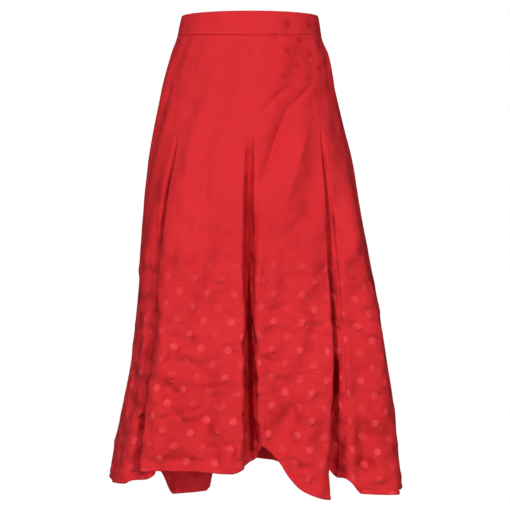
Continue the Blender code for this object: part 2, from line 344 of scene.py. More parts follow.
    def point(self, angle: Array, drop: Array, inward: Array) -> Array:
        """Return points on the oval, moved inward across it.

        Args:
            angle: Angles round the body.
            drop: Drops, of the same shape.
            inward: How far each point lies inside the oval.

        Returns:
            An array of the same shape with a last axis of X, Y and Z.
        """
        wide, deep, square = self.reach(angle, drop)
        across, ahead = np.sin(np.radians(angle)), np.cos(np.radians(angle))
        oval = np.stack([wide * across, -deep * ahead * (1 + square * across**2), -drop], axis=-1)
        return oval - self.outward(angle, drop) * inward[..., None]

    def outward(self, angle: Array, drop: Array) -> Array:
        """Return the level unit vectors that point out of the oval at each angle."""
        run_x, run_y = self.oval_run(angle, drop)
        length = np.hypot(run_x, run_y)
        return np.stack([run_y / length, -run_x / length, np.zeros_like(length)], axis=-1)

    def seam_angle(self, seam: float | str, drop: Array) -> Array:
        """Return a seam's angle at each drop: a side seam is straight, a pleat's isn't."""
        if isinstance(seam, float):
            return np.full_like(drop, seam)
        pleat = self.pleats[seam]
        angles = (pleat.waist, pleat.release, pleat.middle, pleat.hem)
        return SmoothTable(self.pleat_stations, angles)(drop)


def hand_placed_creases() -> tuple[Crease, ...]:
    """Return the main creases, read off the front and repeated in kind on hidden sides."""
    rows = (
        (47.5, 0.117, 22.0, 0.168, -0.0060, 0.0045, 0.001),
        (27.0, 0.150, 5.0, 0.300, -0.0150, 0.0130, 0.006),
        (6.5, 0.262, 4.5, 0.470, -0.0080, 0.0090, 0.001),
        (40.0, 0.176, 12.0, 0.380, 0.0070, 0.0150, 0.009),
        (26.0, 0.124, 2.5, 0.181, -0.0050, 0.0040, 0.002),
        (31.0, 0.122, 14.0, 0.148, -0.0040, 0.0070, 0.001),
        (22.0, 0.104, 1.0, 0.158, 0.0030, 0.0080, 0.002),
        (-0.5, 0.140, -4.0, 0.430, -0.0040, 0.0110),
        (-22.0, 0.190, -25.0, 0.480, -0.0045, 0.0160, 0.002),
        (-35.0, 0.200, -37.0, 0.520, 0.0040, 0.0150, 0.002),
        (44.0, 0.048, 66.0, 0.056, 0.0040, 0.0050, 0.001),
        (34.0, 0.066, 66.0, 0.076, -0.0030, 0.0060, 0.002),
        (47.4, 0.240, 42.0, 0.700, -0.0100, 0.0050, 0.001),
        (-57.0, 0.300, -57.5, 0.740, -0.0080, 0.0060, 0.001),
        (7.0, 0.594, 22.5, 0.616, -0.0045, 0.0034, -0.003),
        (8.0, 0.603, 23.0, 0.626, 0.0030, 0.0060, -0.003),
        (23.5, 0.622, 33.0, 0.627, -0.0036, 0.0030, 0.001),
        (3.0, 0.560, 9.5, 0.570, -0.0034, 0.0032),
        (2.5, 0.620, 6.8, 0.628, -0.0034, 0.0032),
        (11.5, 0.664, 20.0, 0.668, -0.0034, 0.0032, 0.001),
        (25.0, 0.695, 32.0, 0.704, -0.0034, 0.0030, 0.001),
        (9.0, 0.690, 27.0, 0.745, 0.0045, 0.0090, 0.004),
        (-42.0, 0.576, -35.0, 0.546, -0.0040, 0.0036),
        (-41.0, 0.640, -34.5, 0.612, -0.0044, 0.0036, 0.001),
        (-30.0, 0.556, -19.5, 0.548, -0.0034, 0.0034, 0.001),
        (-8.5, 0.590, -5.0, 0.582, -0.0040, 0.0030),
        (-15.5, 0.630, -12.0, 0.650, -0.0036, 0.0030),
        (-11.5, 0.704, -5.5, 0.694, -0.0046, 0.0030, 0.001),
        (-47.0, 0.640, -30.0, 0.560, -0.0036, 0.0090, 0.006),
        (-45.0, 0.716, -25.0, 0.640, -0.0040, 0.0080, 0.004),
        (-41.0, 0.734, -20.0, 0.680, 0.0040, 0.0080, -0.004),
        (-32.0, 0.655, -12.0, 0.625, -0.0032, 0.0050, 0.003),
        (-20.0, 0.560, -6.0, 0.566, -0.0026, 0.0036, 0.001),
        (-24.0, 0.610, -9.0, 0.606, -0.0026, 0.0036, 0.001),
        (-16.0, 0.735, -6.0, 0.716, -0.0040, 0.0050, 0.003),
        (-48.0, 0.330, -22.0, 0.300, -0.0010, 0.0100, 0.002),
        (-40.0, 0.150, -8.0, 0.146, 0.0009, 0.0060, 0.001),
        (-36.0, 0.170, -4.0, 0.176, -0.0009, 0.0050, 0.001),
        (-42.0, 0.200, -12.0, 0.194, 0.0008, 0.0050, -0.001),
        (52.0, 0.240, 66.0, 0.262, -0.0020, 0.0040, 0.002),
        (72.0, 0.590, 86.0, 0.602, -0.0024, 0.0030, 0.001),
        (60.0, 0.500, 78.0, 0.485, -0.0014, 0.0040, 0.002),
        (56.0, 0.735, 84.0, 0.762, 0.0024, 0.0070, 0.004),
        (68.0, 0.660, 88.0, 0.690, -0.0016, 0.0050, 0.003),
        (-84.0, 0.380, -62.0, 0.350, -0.0016, 0.0060, 0.003),
        (-86.0, 0.600, -64.0, 0.640, -0.0018, 0.0060, -0.003),
        (-88.0, 0.700, -66.0, 0.730, 0.0020, 0.0060, 0.003),
        (168.0, 0.210, 138.0, 0.130, -0.0040, 0.0080, 0.008),
        (176.0, 0.330, 150.0, 0.250, -0.0026, 0.0090, 0.006),
        (-172.0, 0.280, -140.0, 0.150, -0.0034, 0.0080, -0.008),
        (140.0, 0.590, 164.0, 0.625, -0.0024, 0.0035, 0.003),
        (146.0, 0.690, 168.0, 0.660, -0.0020, 0.0050, 0.004),
        (-164.0, 0.560, -144.0, 0.600, -0.0024, 0.0040, -0.003),
        (-160.0, 0.700, -140.0, 0.730, 0.0026, 0.0070, 0.004),
        (-120.0, 0.420, -98.0, 0.395, -0.0016, 0.0060, 0.003),
        (-118.0, 0.640, -96.0, 0.665, -0.0020, 0.0050, 0.003),
        (98.0, 0.350, 120.0, 0.390, -0.0018, 0.0060, 0.003),
        (100.0, 0.620, 122.0, 0.600, -0.0018, 0.0050, 0.003),
        (96.0, 0.700, 118.0, 0.725, 0.0020, 0.0060, 0.003),
    )
    return tuple(Crease(*row) for row in rows)


@dataclass
class CreaseField:
    """Every crease of the cloth: those listed and the small crumples."""

    form: SkirtForm
    hand: tuple[Crease, ...] = field(default_factory=hand_placed_creases)
    crumples: int = 800
    crumple_drops: Pair = (0.070, 0.790)
    crumple_gather: float = 0.6
    crumple_length: Pair = (0.020, 0.080)
    crumple_width: Pair = (0.0060, 0.0140)
    crumple_height: Pair = (0.0010, 0.0048)
    crumple_least: float = 0.12
    crumple_bow: float = 0.12
    crumple_tilt: float = 28.0
    trough_share: float = 0.65
    crease_point: float = 0.0022
    crease_end: float = 1.15
    crease_widths: float = 6.0
    end_width: float = 0.55
    sway_height: float = 0.0016
    sway_waves: int = 9
    sway_around: tuple[int, int] = (6, 26)
    sway_down: Pair = (8.0, 45.0)
    seed: int = 17

    def crumple_list(self) -> list[Crease]:
        """Return short creases at seeded places, deeper and closer towards the hem."""
        draw = np.random.default_rng(self.seed)
        top, bottom = self.crumple_drops
        found = []
        for _ in range(self.crumples):
            angle = draw.uniform(-BACK_MIDDLE, BACK_MIDDLE)
            low = draw.uniform(0.0, 1.0) ** self.crumple_gather
            drop = top + (bottom - top) * low
            length = draw.uniform(*self.crumple_length)
            tilt = np.radians(draw.normal(0.0, self.crumple_tilt))
            half_turn = 0.5 * length * np.cos(tilt) / self.form.degree_at(angle, drop)
            half_drop = 0.5 * length * np.sin(tilt)
            sign = -1.0 if draw.uniform() < self.trough_share else 1.0
            height = draw.uniform(*self.crumple_height) * at_least(self.crumple_least, low**2)
            start = (angle - half_turn, drop - half_drop)
            end = (angle + half_turn, drop + half_drop)
            width = draw.uniform(*self.crumple_width)
            bow = draw.normal(0.0, self.crumple_bow) * length
            found.append(Crease(*start, *end, sign * height, width, bow))
        return found

    def crease_height(self, crease: Crease, angle: Array, drop: Array) -> Array:
        """Return one crease's height at each place.

        Args:
            crease: The crease.
            angle: Angles of the places.
            drop: Drops of the places.

        Returns:
            Heights along the cloth's outward side, 0 away from the crease.
        """
        middle = 0.5 * (crease.start_angle + crease.end_angle)
        level = 0.5 * (crease.start_drop + crease.end_drop)
        degree = self.form.degree_at(middle, level)
        x, y = turned(angle - middle) * degree, drop - level
        run_x = (crease.end_angle - crease.start_angle) * degree
        run_y = crease.end_drop - crease.start_drop
        length = float(np.hypot(run_x, run_y))
        along = (x * run_x + y * run_y) / length / (0.5 * length)
        aside = (y * run_x - x * run_y) / length
        reach = self.crease_widths * crease.width + abs(crease.bow)
        near = (np.abs(along) < self.crease_end) & (np.abs(aside) < reach)
        t = along[near]
        off = aside[near] - crease.bow * (1 - t * t)
        fade = eased(np.clip(self.crease_end - np.abs(t), 0.0, 1.0))
        width = crease.width * at_least(self.end_width, fade)
        away = np.hypot(off, self.crease_point) - self.crease_point
        height = np.zeros_like(drop)
        height[near] = crease.height * fade * np.exp(-away / width)
        return height

    def sway(self, angle: Array, drop: Array) -> Array:
        """Return a slow unevenness of the cloth, a sum of seeded waves."""
        draw = np.random.default_rng(self.seed + 1)
        height = np.zeros_like(drop)
        for _ in range(self.sway_waves):
            around, down = draw.integers(*self.sway_around), draw.uniform(*self.sway_down)
            phase = draw.uniform(0.0, 2 * np.pi)
            height += np.sin(np.radians(angle) * around + drop * down + phase)
        return height * self.sway_height / np.sqrt(self.sway_waves)

    def height(self, angle: Array, drop: Array) -> Array:
        """Return the height of all creases together at each place."""
        total = self.sway(angle, drop)
        for crease in (*self.hand, *self.crumple_list()):
            total += self.crease_height(crease, angle, drop)
        return total


@dataclass(frozen=True)
class Grain:
    """Noise: its turns a metre along each axis, its detail, and where it starts and is full."""

    turns: Triple
    detail: float
    low: float = 0.0
    high: float = 1.0


class NodeBench:
    """Adds and joins the nodes of one material."""

    def __init__(self, name: str) -> None:
        """Make an empty node material.

        Args:
            name: Name of the material.
        """
        self.material = bpy.data.materials.new(name)
        self.material.use_nodes = True
        self.tree = self.material.node_tree
        self.shader = self.tree.nodes["Principled BSDF"]

    def add(self, kind: str, **settings: object) -> bpy.types.Node:
        """Add a node and set its properties by name."""
        node = self.tree.nodes.new(kind)
        for name, value in settings.items():
            setattr(node, name, value)
        return node

    @property
    def body(self) -> Socket:
        """Place on the skirt, in metres."""
        return self.add("ShaderNodeTexCoord").outputs["Object"]

    @property
    def place(self) -> Socket:
        """Lengths across and down the piece's cloth, in metres."""
        return self.add("ShaderNodeUVMap", uv_map=LENGTHS_MAP).outputs[0]

    def feed(self, target: Socket, value: object) -> None:
        """Give a socket a number or colour, or link it to another socket."""
        if isinstance(value, Socket):
            self.tree.links.new(value, target)
        else:
            target.default_value = value

    def shade(self, values: dict[str, object]) -> None:
        """Feed the shader's sockets by their names."""
        for name, value in values.items():
            self.feed(self.shader.inputs[name], value)

    def split(self, vector: Socket) -> tuple[Socket, ...]:
        """Return the X, Y and Z of a vector."""
        node = self.add("ShaderNodeSeparateXYZ")
        self.feed(node.inputs[0], vector)
        return tuple(node.outputs)

    def math(self, operation: str, *values: object) -> Socket:
        """Add a Math node for up to three values and return its output."""
        node = self.add("ShaderNodeMath", operation=operation)
        for socket, value in zip(node.inputs, values):
            self.feed(socket, value)
        return node.outputs[0]

    def ramp(self, value: Socket, low: float, high: float, to: Pair) -> Socket:
        """Map a value smoothly from one range to another and return the output."""
        node = self.add("ShaderNodeMapRange", interpolation_type="SMOOTHSTEP")
        for socket, given in zip(node.inputs, (value, low, high, *to)):
            self.feed(socket, given)
        return node.outputs[0]

    def noise(self, vector: Socket, grain: Grain) -> Socket:
        """Add noise on a stretched vector and return its value."""
        node = self.add("ShaderNodeTexNoise")
        scaled = self.add("ShaderNodeVectorMath", operation="MULTIPLY")
        self.feed(scaled.inputs[0], vector)
        scaled.inputs[1].default_value = grain.turns
        self.feed(node.inputs["Vector"], scaled.outputs[0])
        node.inputs["Scale"].default_value = 1.0
        node.inputs["Detail"].default_value = grain.detail
        return node.outputs["Fac"]

    def patches(self, vector: Socket, grain: Grain, to: Pair = (0.0, 1.0)) -> Socket:
        """Return patches of noise that go from the first value to the second."""
        return self.ramp(self.noise(vector, grain), grain.low, grain.high, to)

    def blend(self, share: object, first: object, second: object) -> Socket:
        """Mix two colours by a share and return the colour."""
        node = self.add("ShaderNodeMix", data_type="RGBA")
        for socket, value in zip((node.inputs[0], *node.inputs[6:8]), (share, first, second)):
            self.feed(socket, value)
        return node.outputs[2]

    def bump(
        self, height: Socket, depth: float, under: Socket | None = None, strength: float = 1.0
    ) -> Socket:
        """Add relief over the relief under it.

        Args:
            height: Height of the relief, from 0 to 1.
            depth: Its full height in metres, below 0 where it is sunk.
            under: Normal of the relief under it, if there is any.
            strength: Share of the relief that shows.

        Returns:
            The normal.
        """
        node = self.add("ShaderNodeBump", invert=depth < 0)
        given = {"Height": height, "Distance": abs(depth), "Strength": strength}
        if under is not None:
            given["Normal"] = under
        for name, value in given.items():
            self.feed(node.inputs[name], value)
        return node.outputs[0]


@dataclass(frozen=True)
class JacquardFinish:
    """Red woven jacquard with satin dots of its own colour, with painted sheen and painted shade on
    the dots.
    """

    ground: Colour = (0.655, 0.029, 0.036, 1.0)
    ground_dark: Colour = (0.550, 0.021, 0.027, 1.0)
    # painted_sheen_dot is painted sheen: the colour of the dots where they catch the light lower
    # down.
    painted_sheen_dot: Colour = (0.860, 0.070, 0.084, 1.0)
    # painted_shade_dot is painted shade: the colour of the dots near the top, most at the +X hip.
    painted_shade_dot: Colour = (0.460, 0.013, 0.017, 1.0)
    gleam: Colour = (1.0, 0.22, 0.20, 1.0)
    dot_radius: float = 0.0061
    dot_edge: float = 0.0014
    pitch: float = 0.0450
    # Where and how much painted sheen the dots get: lower down, full below the first height.
    sheen_heights: Pair = (-0.56, -0.34)
    sheen_share: float = 0.62
    # Where and how much painted shade the dots get: near the top, and most towards +X.
    shade_heights: Pair = (-0.24, -0.02)
    shade_places: Pair = (0.015, 0.065)
    shade_share: float = 0.80
    shade_least: float = 0.08
    roughness: float = 0.62
    dot_roughness: float = 0.46
    sheen: float = 0.01
    sheen_roughness: float = 0.45
    specular: float = 0.03
    dot_patches: Grain = Grain((31.0, 31.0, 1.0), 1.0, 0.36, 0.62)
    dot_least: float = 0.3
    slubs: Grain = Grain((34.0, 900.0, 1.0), 2.0)
    slub_share: float = 0.45
    threads: Grain = Grain((1100.0, 26.0, 1.0), 2.0)
    thread_share: float = 0.35
    cloud: Grain = Grain((9.0, 9.0, 6.0), 3.0)
    cloud_share: float = 0.5
    mottle_range: Pair = (0.42, 0.88)
    weft: Grain = Grain((260.0, 1500.0, 1.0), 1.0)
    warp: Grain = Grain((1500.0, 260.0, 1.0), 1.0)
    weave_depth: float = 0.0002
    weave_strength: float = 0.25
    crumpled_heights: Pair = (-0.52, -0.24)
    crinkle: Grain = Grain((26.0, 26.0, 31.0), 0.6)
    crinkle_depth: float = 0.0250
    crinkle_least: float = 0.3
    lines: Grain = Grain((30.0, 30.0, 46.0), 1.5)
    line_reach: float = 0.10
    line_patches: Grain = Grain((17.0, 17.0, 22.0), 1.0, 0.48, 0.62)
    line_rim: Pair = (1.0, 2.6)
    line_least: float = 0.1
    line_depth: float = 0.0006
    blister_depth: float = 0.0008
    blister_least: float = 0.06
    dome_rim: Pair = (0.3, 1.25)
    outer_rim: Pair = (0.9, 1.3)
    pucker_rim: Pair = (0.7, 1.3)
    pucker_shift: Pair = (0.0030, 0.0040)
    pucker_patches: Grain = Grain((24.0, 24.0, 1.0), 1.0, 0.42, 0.60)

    def make(self, name: str = "red_jacquard_cloth") -> bpy.types.Material:
        """Build the cloth's material on the piece's own lengths across and down.

        Args:
            name: Name of the material.

        Returns:
            The material.
        """
        bench = NodeBench(name)
        distance = self.dot_distance(bench)
        inner, outer = self.dot_radius - self.dot_edge, self.dot_radius + self.dot_edge
        dots = bench.ramp(distance, inner, outer, (1.0, 0.0))
        vary = bench.patches(bench.place, self.dot_patches, (self.dot_least, 1.0))
        bench.shade(
            {
                "Base Color": self.colour(bench, dots, vary),
                "Roughness": bench.ramp(dots, 0.0, 1.0, (self.roughness, self.dot_roughness)),
                "Sheen Weight": self.sheen,
                "Sheen Roughness": self.sheen_roughness,
                "Sheen Tint": self.gleam,
                "Specular Tint": self.gleam,
                "Specular IOR Level": self.specular,
                "Normal": self.relief(bench, distance, vary),
            }
        )
        return bench.material

    def dot_distance(self, bench: NodeBench, moved: Pair = (0.0, 0.0)) -> Socket:
        """Return the distance to the nearest dot of the two staggered grids.

        Args:
            bench: The material's bench.
            moved: How far each dot is moved across and down, in metres.

        Returns:
            The distance, in metres.
        """
        lengths = bench.split(bench.place)[:2]
        distances = []
        for shift in DOT_STAGGER:
            legs = []
            for length, move in zip(lengths, moved):
                turn = bench.math("MULTIPLY_ADD", length, 1 / self.pitch, shift - move / self.pitch)
                part = bench.math("SUBTRACT", bench.math("FRACT", turn), 0.5)
                leg = bench.math("MULTIPLY", part, self.pitch)
                legs.append(bench.math("MULTIPLY", leg, leg))
            distances.append(bench.math("SQRT", bench.math("ADD", *legs)))
        return bench.math("MINIMUM", *distances)

    def ring(self, bench: NodeBench, distance: Socket, radii: Pair, to: Pair) -> Socket:
        """Map a distance smoothly between two shares of a dot's radius."""
        inner, outer = (share * self.dot_radius for share in radii)
        return bench.ramp(distance, inner, outer, to)

    def colour(self, bench: NodeBench, dots: Socket, vary: Socket) -> Socket:
        """Colour the ground with its slubs, and paint the dots dark with painted shade at one hip
        and light with painted sheen below.

        Args:
            bench: The material's bench.
            dots: Share of the dot, 1 inside it.
            vary: Share that differs from dot to dot.

        Returns:
            The colour.
        """
        threads = bench.math("MULTIPLY", bench.noise(bench.place, self.threads), self.thread_share)
        slubs = bench.noise(bench.place, self.slubs)
        mottle = bench.math("MULTIPLY_ADD", slubs, self.slub_share, threads)
        cloud = bench.noise(bench.body, self.cloud)
        mottle = bench.math("MULTIPLY_ADD", cloud, self.cloud_share, mottle)
        mottle = bench.ramp(mottle, *self.mottle_range, (0.0, 1.0))
        ground = bench.blend(mottle, self.ground_dark, self.ground)
        across, _, height = bench.split(bench.body)
        # light is each dot's share of painted sheen, uneven from dot to dot.
        light = bench.ramp(height, *self.sheen_heights, (self.sheen_share, 0.0))
        light = bench.math("MULTIPLY", light, vary)
        # painted_shade is each dot's share of painted shade; aside spreads it towards +X.
        painted_shade = bench.ramp(height, *self.shade_heights, (0.0, self.shade_share))
        aside = bench.ramp(across, *self.shade_places, (self.shade_least, 1.0))
        painted_shade = bench.math("MULTIPLY", painted_shade, aside)
        # Lay the painted shade, then the painted sheen, over the dots.
        ground = bench.blend(bench.math("MULTIPLY", dots, painted_shade), ground, self.painted_shade_dot)
        return bench.blend(bench.math("MULTIPLY", dots, light), ground, self.painted_sheen_dot)

    def relief(self, bench: NodeBench, distance: Socket, vary: Socket) -> Socket:
        """Raise the threads, the crinkles and a low blister at each dot as bump.

        Args:
            bench: The material's bench.
            distance: Distance to the nearest dot's middle.
            vary: Share that differs from dot to dot.

        Returns:
            The normal.
        """
        threads = [bench.noise(bench.place, grain) for grain in (self.weft, self.warp)]
        weave = bench.math("ADD", *threads)
        normal = bench.bump(weave, self.weave_depth, strength=self.weave_strength)
        height = bench.split(bench.body)[2]
        low = bench.ramp(height, *self.crumpled_heights, (1.0, self.crinkle_least))
        crinkle = bench.math("MULTIPLY", bench.noise(bench.body, self.crinkle), low)
        normal = bench.bump(crinkle, self.crinkle_depth, normal)
        lines = bench.math("MULTIPLY", self.crease_lines(bench, distance), low)
        normal = bench.bump(lines, -self.line_depth, normal)
        dome = self.ring(bench, distance, self.dome_rim, (1.0, 0.0))
        beside = self.dot_distance(bench, self.pucker_shift)
        under = self.ring(bench, beside, self.pucker_rim, (1.0, 0.0))
        outside = self.ring(bench, distance, self.outer_rim, (0.0, 1.0))
        sunk = bench.math("MULTIPLY", under, outside)
        sunk = bench.math("MULTIPLY", sunk, bench.patches(bench.place, self.pucker_patches))
        blister = bench.math("SUBTRACT", bench.math("MULTIPLY", dome, vary), sunk)
        flat = bench.ramp(height, *self.crumpled_heights, (1.0, self.blister_least))
        return bench.bump(bench.math("MULTIPLY", blister, flat), self.blister_depth, normal)

    def crease_lines(self, bench: NodeBench, distance: Socket) -> Socket:
        """Return short crinkle lines, most of them near the dots.

        Args:
            bench: The material's bench.
            distance: Distance to the nearest dot's middle.

        Returns:
            The lines' strength, 1 along their middle.
        """
        wave = bench.math("SUBTRACT", bench.noise(bench.body, self.lines), 0.5)
        line = bench.ramp(bench.math("ABSOLUTE", wave), 0.0, self.line_reach, (1.0, 0.0))
        near = self.ring(bench, distance, self.line_rim, (1.0, self.line_least))
        patch = bench.patches(bench.body, self.line_patches)
        return bench.math("MULTIPLY", line, bench.math("MULTIPLY", near, patch))


@dataclass(frozen=True)
class TapeFinish:
    """Matte ribbed tape of the concealed zip."""

    colour: Colour = (0.330, 0.012, 0.018, 1.0)
    # shade is painted shade: the darker colour that the rib grooves get.
    shade: Colour = (0.240, 0.008, 0.012, 1.0)
    ribs: Grain = Grain((60.0, 60.0, 900.0), 1.0, 0.35, 0.65)
    rib_depth: float = 0.0002
    roughness: float = 0.82

    def make(self, name: str = "woven_zip_tape") -> bpy.types.Material:
        """Build the tape's material, ribbed across its length, with painted shade in the rib
        grooves.
        """
        bench = NodeBench(name)
        # The ribs lay the painted shade where the bump is low, in the grooves.
        ribs = bench.patches(bench.body, self.ribs)
        bench.shade(
            {
                "Base Color": bench.blend(ribs, self.shade, self.colour),
                "Roughness": self.roughness,
                "Normal": bench.bump(bench.noise(bench.body, self.ribs), self.rib_depth),
            }
        )
        return bench.material


@dataclass(frozen=True)
class EnamelFinish:
    """Red enamel on the zip's metal, worn a little where fingers hold it."""

    colour: Colour = (0.400, 0.016, 0.022, 1.0)
    worn: Colour = (0.520, 0.180, 0.160, 1.0)
    wear: Grain = Grain((900.0, 900.0, 320.0), 4.0, 0.60, 0.74)
    most_worn: float = 0.6
    scratches: Grain = Grain((900.0, 900.0, 320.0), 4.0, 0.3, 0.7)
    roughness: Pair = (0.24, 0.42)
    coat: float = 0.5
    coat_roughness: float = 0.2

    def make(self, name: str = "red_zip_enamel") -> bpy.types.Material:
        """Build the enamel's material with faint wear and small scratches."""
        bench = NodeBench(name)
        wear = bench.patches(bench.body, self.wear, (0.0, self.most_worn))
        bench.shade(
            {
                "Base Color": bench.blend(wear, self.colour, self.worn),
                "Roughness": bench.patches(bench.body, self.scratches, self.roughness),
                "Coat Weight": self.coat,
                "Coat Roughness": self.coat_roughness,
            }
        )
        return bench.material


def place_object(name: str, data: bpy.types.ID) -> bpy.types.Object:
    """Make an object of the data and link it to the scene."""
    item = bpy.data.objects.new(name, data)
    bpy.context.scene.collection.objects.link(item)
    return item


def mesh_object(
    name: str, grid: Array, lengths: Array, loop_around: bool = False
) -> bpy.types.Object:
    """Make an object from a grid of points, with its cloth lengths as a UV map.

    Args:
        name: Name of the piece.
        grid: Points, rows going down and columns going towards +angle.
        lengths: Length across and down the cloth at each point, in metres.
        loop_around: True where the last row joins the first, as round a band's edge.

    Returns:
        The object, shaded smooth and linked to the scene.
    """
    rows, columns = grid.shape[:2]
    number = np.arange(rows * columns).reshape(rows, columns)
    lower = np.roll(number, -1, axis=0) if loop_around else number[1:]
    upper = number if loop_around else number[:-1]
    quads = np.stack([upper[:, :-1], lower[:, :-1], lower[:, 1:], upper[:, 1:]], axis=-1)
    mesh = bpy.data.meshes.new(name)
    mesh.from_pydata(grid.reshape(-1, 3).tolist(), [], quads.reshape(-1, 4).tolist())
    layer = mesh.uv_layers.new(name=LENGTHS_MAP)
    corners = np.empty(len(mesh.loops), np.int32)
    mesh.loops.foreach_get("vertex_index", corners)
    layer.data.foreach_set("uv", lengths.reshape(-1, 2)[corners].astype(np.float32).ravel())
    mesh.shade_smooth()
    return place_object(name, mesh)


def declare_cloth(piece: bpy.types.Object, node: str, material: bpy.types.Material) -> None:
    """Give a piece the cloth's material and let it stand for its solid."""
    piece.data.materials.append(material)
    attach(piece, CLOTH_BODY)
    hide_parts(node)


def turned_lengths(
    across: Array, down: Array, shift: Pair, turn: float = 0.0
) -> Array:
    """Turn and shift cloth lengths, so that the dots lie as they were cut.

    Args:
        across: Lengths across the piece.
        down: Lengths down the piece.
        shift: How far the dots are shifted, in shares of their pitch.
        turn: Angle of the cloth's grain in the piece, in degrees.

    Returns:
        The lengths, with a last axis of across and down.
    """
    pitch = JacquardFinish().pitch
    ahead, aside = np.cos(np.radians(turn)), np.sin(np.radians(turn))
    along = across * ahead + down * aside + shift[0] * pitch
    below = down * ahead - across * aside + shift[1] * pitch
    return np.stack([along, below], axis=-1)


def outward_normals(grid: Array) -> Array:
    """Return the unit normals of a grid of points whose rows go down."""
    normal = np.cross(np.gradient(grid, axis=0), np.gradient(grid, axis=1))
    return normal / np.maximum(np.linalg.norm(normal, axis=-1, keepdims=True), TINY)


